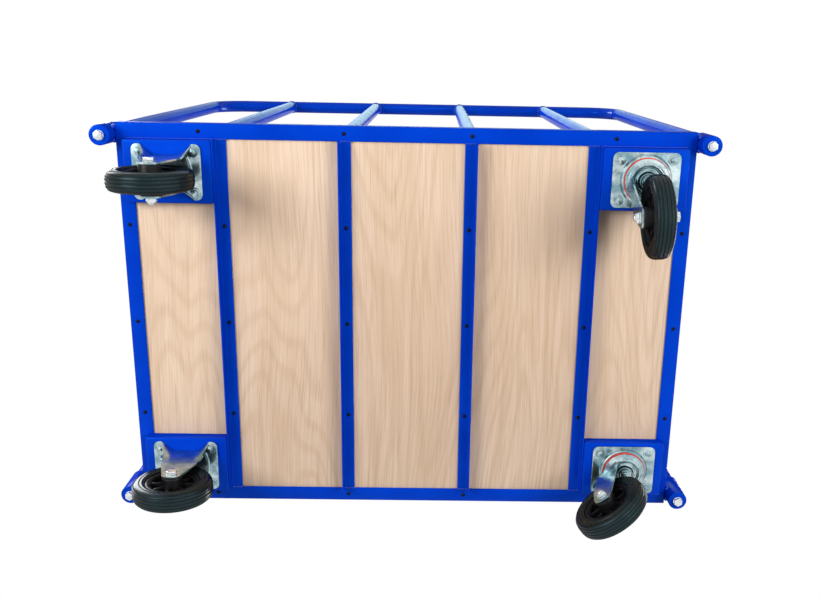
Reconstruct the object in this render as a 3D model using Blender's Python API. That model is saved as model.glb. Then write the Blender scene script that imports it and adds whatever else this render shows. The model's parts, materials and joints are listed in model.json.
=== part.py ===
"""Long goods trolley: plywood deck in an angle-steel frame, two removable side hoops,
two fixed and two swivel castors. Metres, +Z up, origin on the floor under the middle of the deck.
The fixed castors are at the -X end and the swivel castors at the +X end. Left is +Y, right is -Y."""
import math

import bmesh
import bpy
from mathutils import Matrix, Vector

for leftover in list(bpy.data.objects):
    bpy.data.objects.remove(leftover, do_unlink=True)

# Fits
GAP = 0.0003                  # between pieces that touch
PANEL_CLEARANCE = 0.002       # round the edge of the deck panel
SOCKET_CLEARANCE = 0.001      # hoop leg in its socket, on the radius
BOLT_CLEARANCE = 0.0004       # bolt in its hole, on the radius
WHEEL_CLEARANCE = 0.0125      # top of the wheel to the underside of the fork crown
NOTCH_LEDGE = 0.0015          # plate left standing outside a bracket leg

# Frame of steel angle
FRAME_LENGTH = 1.150
FRAME_WIDTH = 0.810
RAIL_LEG = 0.030
RAIL_WALL = 0.003
CROSS_LEG = 0.025
CROSS_WALL = 0.003
CROSS_INNER_SHARE = 0.36      # inner cross members, on the way from the middle to the outer ones
PANEL_THICKNESS = 0.015

# Pans that carry the castors
PAN_DEPTH = 0.025
PAN_MARGIN_X = 0.0188         # pan past each end of the castor plate
PAN_MARGIN_Y = 0.007          # pan past each side of the castor plate
PAN_END_INSET = 0.018         # pan stops short of the end face of the frame
PAN_WALL = 0.003

# Hoops, their bars and the sockets they stand in
HOOP_HEIGHT = 1.270           # floor to the top of the hoop
HOOP_DIAMETER = 0.032
HOOP_WALL = 0.002
HOOP_BEND_RADIUS = 0.095
HOOP_PLUG = 0.012             # closed end of a hoop leg, tapped for the socket bolt
BAR_DIAMETER = 0.025
BAR_WALL = 0.0015
BAR_OUTER_SHARE = 0.637       # upright bars, on the way from the middle to the hoop leg
BAR_INNER_SHARE = 0.212
LOWER_BAR_RISE = 0.100        # frame underside to the lower bar's axis
SOCKET_WALL = 0.003
SOCKET_FLOOR = 0.004
SOCKET_DROP = 0.034           # below the frame underside
SOCKET_RISE = 0.050           # above the frame underside
SOCKET_SETBACK = 0.003        # inside the long edge of the frame
SOCKET_BOLT_DIAMETER = 0.010
SOCKET_BOLT_HEAD = 0.0065
SOCKET_BOLT_FLATS = 0.017
SOCKET_WASHER_DIAMETER = 0.020
SOCKET_WASHER_THICKNESS = 0.002
SOCKET_BOLT_SPARE = 0.008     # bolt end past the plug

# Wheels
WHEEL_DIAMETER = 0.160
WHEEL_WIDTH = 0.040
TYRE_DEPTH = 0.026
TYRE_SHOULDER = 0.009
RIM_INSET = 0.004             # rim edge inside the face of the tyre
RIM_WALL = 0.006
WEB_THICKNESS = 0.010
HUB_DIAMETER = 0.042
HUB_PROUD = 0.009             # hub past the face of the tyre, each side
AXLE_DIAMETER = 0.012
AXLE_FLATS = 0.019
AXLE_HEAD = 0.0075
AXLE_NUT = 0.010
AXLE_SPARE = 0.003            # thread past the nut

# Castor brackets
PLATE_LENGTH = 0.135
PLATE_WIDTH = 0.110
PLATE_THICKNESS = 0.004
PLATE_CORNER = 0.012
BOLT_EDGE = 0.015             # bolt centre inside the edges of the plate
BOLT_HOLE = 0.011
LEG_WALL = 0.0035
LEG_END_RADIUS = 0.0175       # round end of a leg below the axle
BRACKET_LEG_TOP = 0.086       # fixed bracket leg at the plate
BRACKET_SWEEP = 0.58          # how far in the edge of a bracket leg curves
EAR_WIDTH = 0.0225            # ear of the fixed plate at its outer edge
NOTCH_SLOPE = 0.021           # notch between two ears, narrower at its bottom by this on each side
FORK_LEG_TOP = 0.0586         # fork leg at the crown
FORK_SWEEP = 0.56             # how far in the edge of a fork leg curves
CROWN_THICKNESS = 0.008
SEAL_LIP = 0.0035             # seal past the edge of the crown
SEAL_WIDTH = 0.006
SEAL_THICKNESS = 0.0025
RACE_LIP = 0.004              # race past the edge of the seal
RACE_WALL = 0.012
RACE_DEPTH = 0.008
KINGPIN_DIAMETER = 0.020
KINGPIN_LIP = 0.007           # kingpin head past its shank
KINGPIN_HEAD = 0.007
SWIVEL_TRAIL = 0.054
SWIVEL_ANGLE_LEFT = math.radians(143.0)   # rest direction of the trail, from +X towards +Y
SWIVEL_ANGLE_RIGHT = math.radians(87.0)

# Facets of round pieces
WHEEL_STEPS = 32
HOOP_SIDES = 16
BEND_STEPS = 6
BAR_SIDES = 12
SOCKET_SIDES = 16
RACE_STEPS = 24
HOLE_SIDES = 10
COPE_SIDES = 24
BOLT_SIDES = 12
CORNER_STEPS = 4

# Heights that follow from the sizes above
AXLE_Z = WHEEL_DIAMETER / 2
CROWN_LOW_Z = WHEEL_DIAMETER + WHEEL_CLEARANCE
CROWN_TOP_Z = CROWN_LOW_Z + CROWN_THICKNESS
SEAL_LOW_Z = CROWN_TOP_Z + GAP
RACE_LOW_Z = SEAL_LOW_Z + SEAL_THICKNESS + GAP
PLATE_LOW_Z = RACE_LOW_Z + RACE_DEPTH
CASTOR_HEIGHT = PLATE_LOW_Z + PLATE_THICKNESS
PAN_LOW_Z = CASTOR_HEIGHT + GAP
PAN_TOP_Z = PAN_LOW_Z + PAN_DEPTH
FRAME_Z = PAN_TOP_Z + GAP
FLANGE_TOP_Z = FRAME_Z + RAIL_WALL
PANEL_LOW_Z = FLANGE_TOP_Z + GAP

# Places in plan that follow from the sizes above
RAIL_INNER_Y = FRAME_WIDTH / 2 - RAIL_LEG
PAN_OUTER_X = FRAME_LENGTH / 2 - PAN_END_INSET
PAN_HALF_X = PLATE_LENGTH / 2 + PAN_MARGIN_X
PAN_HALF_Y = PLATE_WIDTH / 2 + PAN_MARGIN_Y
CASTOR_X = PAN_OUTER_X - PAN_HALF_X
CASTOR_Y = RAIL_INNER_Y - GAP - PAN_HALF_Y
CROSS_OUTER_X = CASTOR_X - PAN_HALF_X - GAP
CROSS_INNER_X = CROSS_INNER_SHARE * CROSS_OUTER_X
SOCKET_BORE = HOOP_DIAMETER / 2 + SOCKET_CLEARANCE
SOCKET_RADIUS = SOCKET_BORE + SOCKET_WALL
SOCKET_X = FRAME_LENGTH / 2 + GAP + SOCKET_RADIUS
SOCKET_Y = FRAME_WIDTH / 2 - SOCKET_SETBACK - SOCKET_RADIUS
SOCKET_LOW_Z = FRAME_Z - SOCKET_DROP
SOCKET_TOP_Z = FRAME_Z + SOCKET_RISE
BAR_OUTER_X = BAR_OUTER_SHARE * SOCKET_X
BAR_INNER_X = BAR_INNER_SHARE * SOCKET_X
HOOP_LOW_Z = SOCKET_LOW_Z + SOCKET_FLOOR + GAP
HOOP_AXIS_Z = HOOP_HEIGHT - HOOP_DIAMETER / 2
LOWER_BAR_Z = FRAME_Z + LOWER_BAR_RISE
HUB_LENGTH = WHEEL_WIDTH + 2 * HUB_PROUD
LEG_INNER_Y = HUB_LENGTH / 2 + GAP
LEG_OUTER_Y = LEG_INNER_Y + LEG_WALL
CROWN_RADIUS = math.hypot(FORK_LEG_TOP / 2, LEG_OUTER_Y)
SEAL_RADIUS = CROWN_RADIUS + SEAL_LIP
RACE_RADIUS = SEAL_RADIUS + RACE_LIP


# Materials

def finish(name, colour, roughness, metallic):
    """Plain surface with a colour, a roughness and a metallic value."""
    material = bpy.data.materials.new(name)
    material.use_nodes = True
    shader = material.node_tree.nodes["Principled BSDF"]
    shader.inputs["Base Color"].default_value = (*colour, 1.0)
    shader.inputs["Roughness"].default_value = roughness
    shader.inputs["Metallic"].default_value = metallic
    material.diffuse_color = (*colour, 1.0)
    return material


BLUE_PAINT = finish("blue_powder_coat", (0.0, 0.045, 0.62), 0.3, 0.0)
PLYWOOD = finish("plywood", (0.62, 0.43, 0.29), 0.6, 0.0)
ZINC = finish("zinc_plate", (0.62, 0.66, 0.68), 0.3, 0.9)
RUBBER = finish("black_rubber", (0.022, 0.022, 0.024), 0.6, 0.0)
BLACK_PLASTIC = finish("black_plastic", (0.014, 0.014, 0.015), 0.4, 0.0)
RED_SEAL = finish("red_seal", (0.6, 0.04, 0.02), 0.5, 0.0)


# Mesh helpers

def to_mesh(bm, name):
    """Close a bmesh into a mesh whose faces point out, smooth over its round stretches."""
    bmesh.ops.remove_doubles(bm, verts=bm.verts[:], dist=0.000001)
    bmesh.ops.recalc_face_normals(bm, faces=bm.faces[:])
    mesh = bpy.data.meshes.new(name)
    bm.to_mesh(mesh)
    bm.free()
    mesh.shade_smooth()
    mesh.set_sharp_from_angle(angle=math.radians(35))
    return mesh


def ring(radius, sides, z):
    """Points of a circle round the Z axis."""
    return [Vector((radius * math.cos(2 * math.pi * i / sides),
                    radius * math.sin(2 * math.pi * i / sides), z)) for i in range(sides)]


def hexagon(flats, z):
    """Twelve points round a hexagon: each corner and the middle of each flat."""
    points = []
    for i in range(BOLT_SIDES):
        reach = flats / 2 if i % 2 else flats / 2 / math.cos(math.pi / 6)
        angle = 2 * math.pi * i / BOLT_SIDES
        points.append(Vector((reach * math.cos(angle), reach * math.sin(angle), z)))
    return points


def skin(name, rings, closed):
    """Skin over rings of equal count. Closed joins the last ring to the first, else both ends are capped."""
    bm = bmesh.new()
    loops = [[bm.verts.new(point) for point in points] for points in rings]
    pairs = list(zip(loops, loops[1:]))
    if closed:
        pairs.append((loops[-1], loops[0]))
    else:
        bm.faces.new(loops[0])
        bm.faces.new(loops[-1])
    for low, high in pairs:
        for i in range(len(low)):
            j = (i + 1) % len(low)
            bm.faces.new((low[i], low[j], high[j], high[i]))
    return to_mesh(bm, name)


def lathe(name, profile, steps):
    """Turn a closed profile of (radius, height) points round the Z axis."""
    bm = bmesh.new()
    verts = [bm.verts.new((radius, 0.0, z)) for radius, z in profile]
    edges = [bm.edges.new((verts[i - 1], verts[i])) for i in range(len(verts))]
    bmesh.ops.spin(bm, geom=verts + edges, cent=(0, 0, 0), axis=(0, 0, 1),
                   angle=2 * math.pi, steps=steps, use_merge=True)
    return to_mesh(bm, name)


def prism(name, outline, low, high, place):
    """Extrude a flat outline from low to high along its normal, then place it with a matrix."""
    bm = bmesh.new()
    face = bm.faces.new([bm.verts.new((u, v, low)) for u, v in outline])
    grown = bmesh.ops.extrude_face_region(bm, geom=[face])["geom"]
    moved = [item for item in grown if isinstance(item, bmesh.types.BMVert)]
    bmesh.ops.translate(bm, verts=moved, vec=(0, 0, high - low))
    bmesh.ops.transform(bm, matrix=place, verts=bm.verts[:])
    return to_mesh(bm, name)


def block(name, low, high):
    """Box between two corners."""
    outline = [(low[0], low[1]), (high[0], low[1]), (high[0], high[1]), (low[0], high[1])]
    return prism(name, outline, low[2], high[2], Matrix())


def pegs(name, places, radius, low, high, sides):
    """Round pegs along Z that cut a pattern of holes."""
    bm = bmesh.new()
    for x, y in places:
        bmesh.ops.create_cone(bm, cap_ends=True, segments=sides, radius1=radius, radius2=radius,
                              depth=high - low, matrix=Matrix.Translation((x, y, (low + high) / 2)))
    return to_mesh(bm, name)


def rod(name, start, end, radius, sides):
    """Solid round rod between two points."""
    start, end = Vector(start), Vector(end)
    turn = (end - start).to_track_quat("Z", "Y").to_matrix().to_4x4()
    bm = bmesh.new()
    bmesh.ops.create_cone(bm, cap_ends=True, segments=sides, radius1=radius, radius2=radius,
                          depth=(end - start).length,
                          matrix=Matrix.Translation((start + end) / 2) @ turn)
    return to_mesh(bm, name)


def combine(mesh, operation, tools):
    """Apply Booleans of tool meshes to a mesh and give the finished mesh."""
    base = bpy.data.objects.new("base", mesh)
    bpy.context.collection.objects.link(base)
    helpers = [base]
    for tool in tools:
        helper = bpy.data.objects.new("tool", tool)
        helper.hide_render = True
        helper.display_type = "WIRE"
        bpy.context.collection.objects.link(helper)
        cut = base.modifiers.new("cut", "BOOLEAN")
        cut.operation = operation
        cut.object = helper
        helpers.append(helper)
    bpy.context.view_layer.update()
    done = base.evaluated_get(bpy.context.evaluated_depsgraph_get())
    bm = bmesh.new()
    bm.from_mesh(done.to_mesh())
    done.to_mesh_clear()
    for helper in helpers:
        bpy.data.objects.remove(helper, do_unlink=True)
    bmesh.ops.dissolve_degenerate(bm, dist=0.00001, edges=bm.edges[:])
    return to_mesh(bm, mesh.name)


def add(name, mesh, material, parent=None):
    """Named piece of the trolley."""
    piece = bpy.data.objects.new(name, mesh)
    if not mesh.materials:
        mesh.materials.append(material)
    bpy.context.collection.objects.link(piece)
    piece.parent = parent
    return piece


def pivot(name, place, angle=0.0, parent=None):
    """Empty on a joint's axis or at the seat of a castor."""
    empty = bpy.data.objects.new(name, None)
    empty.location = place
    empty.rotation_euler = (0, 0, angle)
    empty.empty_display_size = 0.03
    empty.parent = parent
    bpy.context.collection.objects.link(empty)
    return empty


ALONG_X = Matrix(((0, 0, 1, 0), (1, 0, 0, 0), (0, 1, 0, 0), (0, 0, 0, 1)))    # outline in YZ
ALONG_Y = Matrix(((1, 0, 0, 0), (0, 0, 1, 0), (0, 1, 0, 0), (0, 0, 0, 1)))    # outline in XZ
AXLE_TURN = Matrix.Rotation(-math.pi / 2, 4, "X")                             # Z axis onto +Y
SIDES = (("left", 1), ("right", -1))
ENDS = (("fixed", -1), ("swivel", 1))


# Frame and deck

def mitred_rail(name, length):
    """Angle along X with its outer face on Y = 0, flange inwards to -Y and leg up, mitred at both ends."""
    section = [(0, FRAME_Z), (RAIL_LEG, FRAME_Z), (RAIL_LEG, FLANGE_TOP_Z), (RAIL_WALL, FLANGE_TOP_Z),
               (RAIL_WALL, FRAME_Z + RAIL_LEG), (0, FRAME_Z + RAIL_LEG)]
    ends = []
    for end in (-1, 1):
        ends.append([Vector((end * (length / 2 - inward - GAP), -inward, z)) for inward, z in section])
    return skin(name, ends, closed=False)


def build_frame():
    side_mesh = mitred_rail("side_rail", FRAME_LENGTH)
    end_mesh = mitred_rail("end_rail", FRAME_WIDTH)
    for side, sign in SIDES:
        rail = add("side_rail_" + side, side_mesh, BLUE_PAINT)
        rail.location.y = sign * FRAME_WIDTH / 2
        rail.rotation_euler.z = 0 if sign > 0 else math.pi
    for end, sign in ENDS:
        rail = add("end_rail_" + end, end_mesh, BLUE_PAINT)
        rail.location.x = sign * FRAME_LENGTH / 2
        rail.rotation_euler.z = -sign * math.pi / 2

    reach = RAIL_INNER_Y - GAP
    section = [(0, FLANGE_TOP_Z), (CROSS_LEG, FLANGE_TOP_Z), (CROSS_LEG, FLANGE_TOP_Z - CROSS_WALL),
               (CROSS_WALL, FLANGE_TOP_Z - CROSS_WALL), (CROSS_WALL, FLANGE_TOP_Z - CROSS_LEG),
               (0, FLANGE_TOP_Z - CROSS_LEG)]
    cross_mesh = prism("cross_member", section, -reach, reach, ALONG_Y)
    for number, x in enumerate((-CROSS_OUTER_X, -CROSS_INNER_X, CROSS_INNER_X, CROSS_OUTER_X)):
        member = add("cross_member_%d" % (number + 1), cross_mesh, BLUE_PAINT)
        member.location.x = x
        member.rotation_euler.z = 0 if x < 0 else math.pi

    panel_x = FRAME_LENGTH / 2 - RAIL_WALL - PANEL_CLEARANCE
    panel_y = FRAME_WIDTH / 2 - RAIL_WALL - PANEL_CLEARANCE
    add("deck_panel", block("deck_panel", (-panel_x, -panel_y, PANEL_LOW_Z),
                            (panel_x, panel_y, PANEL_LOW_Z + PANEL_THICKNESS)), PLYWOOD)


def bolt_places():
    """Centres of the four castor bolts about the castor's centre."""
    reach_x = PLATE_LENGTH / 2 - BOLT_EDGE
    reach_y = PLATE_WIDTH / 2 - BOLT_EDGE
    return [(x * reach_x, y * reach_y) for x in (-1, 1) for y in (-1, 1)]


def build_pans():
    inner_x = PAN_HALF_X - PAN_WALL
    inner_y = PAN_HALF_Y - PAN_WALL
    shell = block("castor_pan", (-PAN_HALF_X, -PAN_HALF_Y, PAN_LOW_Z), (PAN_HALF_X, PAN_HALF_Y, PAN_TOP_Z))
    hollow = block("hollow", (-inner_x, -inner_y, PAN_LOW_Z + PAN_WALL),
                   (inner_x, inner_y, PAN_TOP_Z + PAN_WALL))
    holes = pegs("holes", bolt_places(), BOLT_HOLE / 2, PAN_LOW_Z - PAN_WALL, PAN_LOW_Z + 2 * PAN_WALL,
                 HOLE_SIDES)
    mesh = combine(shell, "DIFFERENCE", [hollow, holes])
    for end, end_sign in ENDS:
        for side, side_sign in SIDES:
            pan = add("castor_pan_%s_%s" % (end, side), mesh, BLUE_PAINT)
            pan.location = (end_sign * CASTOR_X, side_sign * CASTOR_Y, 0)


# Hoops and sockets

def hoop_path():
    """Centre line of a hoop in XZ with the direction at each point, from leg to leg."""
    bend_x = SOCKET_X - HOOP_BEND_RADIUS
    bend_z = HOOP_AXIS_Z - HOOP_BEND_RADIUS
    path = [(-SOCKET_X, HOOP_LOW_Z, math.pi)]
    for centre, start in ((-bend_x, math.pi), (bend_x, math.pi / 2)):
        for step in range(BEND_STEPS + 1):
            angle = start - math.pi / 2 * step / BEND_STEPS
            path.append((centre + HOOP_BEND_RADIUS * math.cos(angle),
                         bend_z + HOOP_BEND_RADIUS * math.sin(angle), angle))
    path.append((SOCKET_X, HOOP_LOW_Z, 0.0))
    return path


def hoop_ring(x, z, angle, radius):
    """Ring of the tube at a point of the centre line, square to it."""
    points = []
    for i in range(HOOP_SIDES):
        turn = 2 * math.pi * i / HOOP_SIDES
        reach = radius * math.cos(turn)
        points.append(Vector((x + reach * math.cos(angle), radius * math.sin(turn),
                              z + reach * math.sin(angle))))
    return points


def hoop_tube_mesh():
    """Bent tube with plugged, tapped leg ends."""
    outer = HOOP_DIAMETER / 2
    inner = outer - HOOP_WALL
    tapped = SOCKET_BOLT_DIAMETER / 2 + BOLT_CLEARANCE
    path = hoop_path()
    plug_z = HOOP_LOW_Z + HOOP_PLUG
    rings = [hoop_ring(x, z, angle, outer) for x, z, angle in path]
    rings.append(hoop_ring(SOCKET_X, HOOP_LOW_Z, 0.0, tapped))
    rings.append(hoop_ring(SOCKET_X, plug_z, 0.0, tapped))
    rings.append(hoop_ring(SOCKET_X, plug_z, 0.0, inner))
    rings += [hoop_ring(x, z, angle, inner) for x, z, angle in reversed(path[1:-1])]
    rings.append(hoop_ring(-SOCKET_X, plug_z, math.pi, inner))
    rings.append(hoop_ring(-SOCKET_X, plug_z, math.pi, tapped))
    rings.append(hoop_ring(-SOCKET_X, HOOP_LOW_Z, math.pi, tapped))
    return skin("hoop_tube", rings, closed=True)


def bar_mesh(name, low, high, along, mates):
    """Tube along an axis from low to high, coped round the tubes that it meets."""
    outer = BAR_DIAMETER / 2
    inner = outer - BAR_WALL
    rings = [ring(outer, BAR_SIDES, low), ring(outer, BAR_SIDES, high),
             ring(inner, BAR_SIDES, high), ring(inner, BAR_SIDES, low)]
    tube = skin(name, rings, closed=True)
    tube.transform(along)
    return combine(tube, "DIFFERENCE", mates)


def build_hoops():
    tube_mesh = hoop_tube_mesh()
    mate = HOOP_DIAMETER / 2 + GAP
    low_mate = BAR_DIAMETER / 2 + GAP
    legs = [rod("leg", (x, 0, LOWER_BAR_Z - HOOP_DIAMETER), (x, 0, LOWER_BAR_Z + HOOP_DIAMETER),
                mate, COPE_SIDES) for x in (-SOCKET_X, SOCKET_X)]
    onto_x = Matrix.Translation((0, 0, LOWER_BAR_Z)) @ Matrix.Rotation(math.pi / 2, 4, "Y")
    lower_mesh = bar_mesh("hoop_lower_bar", -SOCKET_X, SOCKET_X, onto_x, legs)
    ends = [rod("top", (-BAR_DIAMETER, 0, HOOP_AXIS_Z), (BAR_DIAMETER, 0, HOOP_AXIS_Z), mate, COPE_SIDES),
            rod("low", (-BAR_DIAMETER, 0, LOWER_BAR_Z), (BAR_DIAMETER, 0, LOWER_BAR_Z), low_mate,
                COPE_SIDES)]
    upright_mesh = bar_mesh("hoop_bar", LOWER_BAR_Z, HOOP_AXIS_Z, Matrix(), ends)
    for side, sign in SIDES:
        y = sign * SOCKET_Y
        add("hoop_tube_" + side, tube_mesh, BLUE_PAINT).location.y = y
        add("hoop_lower_bar_" + side, lower_mesh, BLUE_PAINT).location.y = y
        for number, x in enumerate((-BAR_OUTER_X, -BAR_INNER_X, BAR_INNER_X, BAR_OUTER_X)):
            bar = add("hoop_bar_%s_%d" % (side, number + 1), upright_mesh, BLUE_PAINT)
            bar.location = (x, y, 0)


def build_sockets():
    hole = SOCKET_BOLT_DIAMETER / 2 + BOLT_CLEARANCE
    floor_z = SOCKET_LOW_Z + SOCKET_FLOOR
    profile = [(hole, SOCKET_LOW_Z), (SOCKET_RADIUS, SOCKET_LOW_Z), (SOCKET_RADIUS, SOCKET_TOP_Z),
               (SOCKET_BORE, SOCKET_TOP_Z), (SOCKET_BORE, floor_z), (hole, floor_z)]
    socket_mesh = lathe("corner_socket", profile, SOCKET_SIDES)
    washer_z = SOCKET_LOW_Z - GAP
    seat_z = washer_z - SOCKET_WASHER_THICKNESS
    head_z = seat_z - SOCKET_BOLT_HEAD
    end_z = HOOP_LOW_Z + HOOP_PLUG + SOCKET_BOLT_SPARE
    shank = SOCKET_BOLT_DIAMETER / 2
    washer = SOCKET_WASHER_DIAMETER / 2
    rings = [hexagon(SOCKET_BOLT_FLATS, head_z), hexagon(SOCKET_BOLT_FLATS, seat_z),
             ring(washer, BOLT_SIDES, seat_z), ring(washer, BOLT_SIDES, washer_z),
             ring(shank, BOLT_SIDES, washer_z), ring(shank, BOLT_SIDES, end_z)]
    bolt_mesh = skin("socket_bolt", rings, closed=False)
    for end, end_sign in ENDS:
        for side, side_sign in SIDES:
            place = (end_sign * SOCKET_X, side_sign * SOCKET_Y, 0)
            add("corner_socket_%s_%s" % (end, side), socket_mesh, BLUE_PAINT).location = place
            add("socket_bolt_%s_%s" % (end, side), bolt_mesh, ZINC).location = place


# Wheels and axles, made about the axle with the axle along Y

def tyre_mesh():
    outer = WHEEL_DIAMETER / 2
    bore = outer - TYRE_DEPTH
    half = WHEEL_WIDTH / 2
    shoulder = TYRE_SHOULDER
    bevel = shoulder / 2
    profile = [(bore, -half), (outer - shoulder, -half), (outer - bevel / 2, bevel - half),
               (outer, shoulder - half), (outer, half - shoulder), (outer - bevel / 2, half - bevel),
               (outer - shoulder, half), (bore, half)]
    mesh = lathe("tyre", profile, WHEEL_STEPS)
    mesh.transform(AXLE_TURN)
    return mesh


def rim_mesh():
    outer = WHEEL_DIAMETER / 2 - TYRE_DEPTH - GAP
    well = outer - RIM_WALL
    half = WHEEL_WIDTH / 2 - RIM_INSET
    web = WEB_THICKNESS / 2
    hub = HUB_DIAMETER / 2
    hub_half = HUB_LENGTH / 2
    bore = AXLE_DIAMETER / 2 + BOLT_CLEARANCE
    upper = [(outer, half), (well, half), (well, web), (hub, web), (hub, hub_half), (bore, hub_half)]
    lower = [(radius, -z) for radius, z in reversed(upper)]
    mesh = lathe("rim", upper + lower, WHEEL_STEPS)
    mesh.transform(AXLE_TURN)
    return mesh


def axle_mesh():
    seat = LEG_OUTER_Y + GAP
    shank = AXLE_DIAMETER / 2
    end = seat + AXLE_NUT + AXLE_SPARE
    rings = [hexagon(AXLE_FLATS, -seat - AXLE_HEAD), hexagon(AXLE_FLATS, -seat),
             ring(shank, BOLT_SIDES, -seat), ring(shank, BOLT_SIDES, end)]
    mesh = skin("axle", rings, closed=False)
    mesh.transform(AXLE_TURN)
    return mesh


def nut_mesh():
    seat = LEG_OUTER_Y + GAP
    bore = AXLE_DIAMETER / 2 + GAP
    rings = [hexagon(AXLE_FLATS, seat), hexagon(AXLE_FLATS, seat + AXLE_NUT),
             ring(bore, BOLT_SIDES, seat + AXLE_NUT), ring(bore, BOLT_SIDES, seat)]
    mesh = skin("axle_nut", rings, closed=True)
    mesh.transform(AXLE_TURN)
    return mesh


# Castor brackets, made about the castor's centre on the floor with the trail along +X

def leg_pair(outline):
    """Both legs of a bracket or a fork from one outline in XZ."""
    return [prism("leg", outline, sign * LEG_INNER_Y, sign * LEG_OUTER_Y, ALONG_Y) for sign in (-1, 1)]


def leg_end(trail):
    """Round lower end of a leg about the axle, from its front to its back."""
    points = []
    for step in range(2 * CORNER_STEPS + 1):
        angle = math.pi + math.pi * step / (2 * CORNER_STEPS)
        points.append((trail + LEG_END_RADIUS * math.cos(angle), AXLE_Z + LEG_END_RADIUS * math.sin(angle)))
    return points


def sweep_in(start, end, pull):
    """Points of a concave edge that leaves start sideways and arrives at end upright."""
    bend = (start[0] + (end[0] - start[0]) * pull, start[1] + (end[1] - start[1]) * (1 - pull))
    points = []
    for step in range(CORNER_STEPS):
        share = step / CORNER_STEPS
        keep = 1 - share
        points.append(tuple(keep * keep * start[i] + 2 * keep * share * bend[i] + share * share * end[i]
                            for i in (0, 1)))
    return points


def axle_hole(trail):
    """Peg along Y that cuts the axle's hole through both legs."""
    reach = LEG_OUTER_Y + LEG_WALL
    return rod("axle_hole", (trail, -reach, AXLE_Z), (trail, reach, AXLE_Z),
               AXLE_DIAMETER / 2 + BOLT_CLEARANCE, HOLE_SIDES + 2)


def corner_arc(half_x, half_y):
    """Rounded corner of a castor plate in the +X +Y quarter, from the +Y edge to the +X edge."""
    points = []
    for step in range(CORNER_STEPS + 1):
        angle = math.pi / 2 * (1 - step / CORNER_STEPS)
        points.append((half_x - PLATE_CORNER + PLATE_CORNER * math.cos(angle),
                       half_y - PLATE_CORNER + PLATE_CORNER * math.sin(angle)))
    return points


def mirrored(quarter):
    """Whole outline from its +X +Y quarter, which runs from the Y axis to the X axis."""
    right = quarter + [(x, -y) for x, y in reversed(quarter)]
    return right + [(-x, y) for x, y in reversed(right)]


def plate_holes():
    return pegs("plate_holes", bolt_places(), BOLT_HOLE / 2, PLATE_LOW_Z - PLATE_THICKNESS,
                CASTOR_HEIGHT + PLATE_THICKNESS, HOLE_SIDES)


def fixed_bracket_mesh():
    """Pressed bracket: plate with four ears and a notch on each long side, two flared legs."""
    notch_y = LEG_OUTER_Y + NOTCH_LEDGE
    mouth_x = PLATE_LENGTH / 2 - EAR_WIDTH
    quarter = [(mouth_x - NOTCH_SLOPE, notch_y), (mouth_x, PLATE_WIDTH / 2)]
    quarter += corner_arc(PLATE_LENGTH / 2, PLATE_WIDTH / 2)
    plate = prism("fixed_bracket", mirrored(quarter), PLATE_LOW_Z, CASTOR_HEIGHT, Matrix())
    root_z = CASTOR_HEIGHT - PLATE_THICKNESS / 2
    front = [(-BRACKET_LEG_TOP / 2, root_z)]
    front += sweep_in((-BRACKET_LEG_TOP / 2, PLATE_LOW_Z), (-LEG_END_RADIUS, AXLE_Z),
                      BRACKET_SWEEP)
    back = [(-x, z) for x, z in reversed(front)]
    legs = leg_pair(front + leg_end(0.0) + back)
    joined = combine(plate, "UNION", legs)
    return combine(joined, "DIFFERENCE", [plate_holes(), axle_hole(0.0)])


def swivel_plate_mesh():
    """Plate with rounded corners and the pressed outer race of the swivel head."""
    plate = prism("swivel_plate", mirrored(corner_arc(PLATE_LENGTH / 2, PLATE_WIDTH / 2)),
                  PLATE_LOW_Z, CASTOR_HEIGHT, Matrix())
    inner = RACE_RADIUS - RACE_WALL
    root_z = CASTOR_HEIGHT - PLATE_THICKNESS / 2
    race = lathe("race", [(inner, RACE_LOW_Z), (RACE_RADIUS - RACE_WALL / 3, RACE_LOW_Z),
                          (RACE_RADIUS, root_z), (inner, root_z)], RACE_STEPS)
    pin_hole = pegs("pin_hole", [(0, 0)], KINGPIN_DIAMETER / 2 + BOLT_CLEARANCE,
                    PLATE_LOW_Z - PLATE_THICKNESS, CASTOR_HEIGHT + PLATE_THICKNESS, BOLT_SIDES)
    joined = combine(plate, "UNION", [race])
    return combine(joined, "DIFFERENCE", [plate_holes(), pin_hole])


def kingpin_mesh():
    """Rivet through the swivel head: shank from the plate to a domed head under the crown."""
    shank = KINGPIN_DIAMETER / 2
    head = shank + KINGPIN_LIP
    under_z = CROWN_LOW_Z - GAP
    rings = [ring(shank, RACE_STEPS, CASTOR_HEIGHT), ring(shank, RACE_STEPS, under_z),
             ring(head, RACE_STEPS, under_z), ring(head, RACE_STEPS, under_z - KINGPIN_HEAD / 2),
             ring(shank, RACE_STEPS, under_z - KINGPIN_HEAD)]
    return skin("kingpin", rings, closed=False)


def seal_mesh():
    inner = SEAL_RADIUS - SEAL_WIDTH
    top_z = SEAL_LOW_Z + SEAL_THICKNESS
    return lathe("seal", [(inner, SEAL_LOW_Z), (SEAL_RADIUS, SEAL_LOW_Z), (SEAL_RADIUS, top_z),
                          (inner, top_z)], RACE_STEPS)


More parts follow.
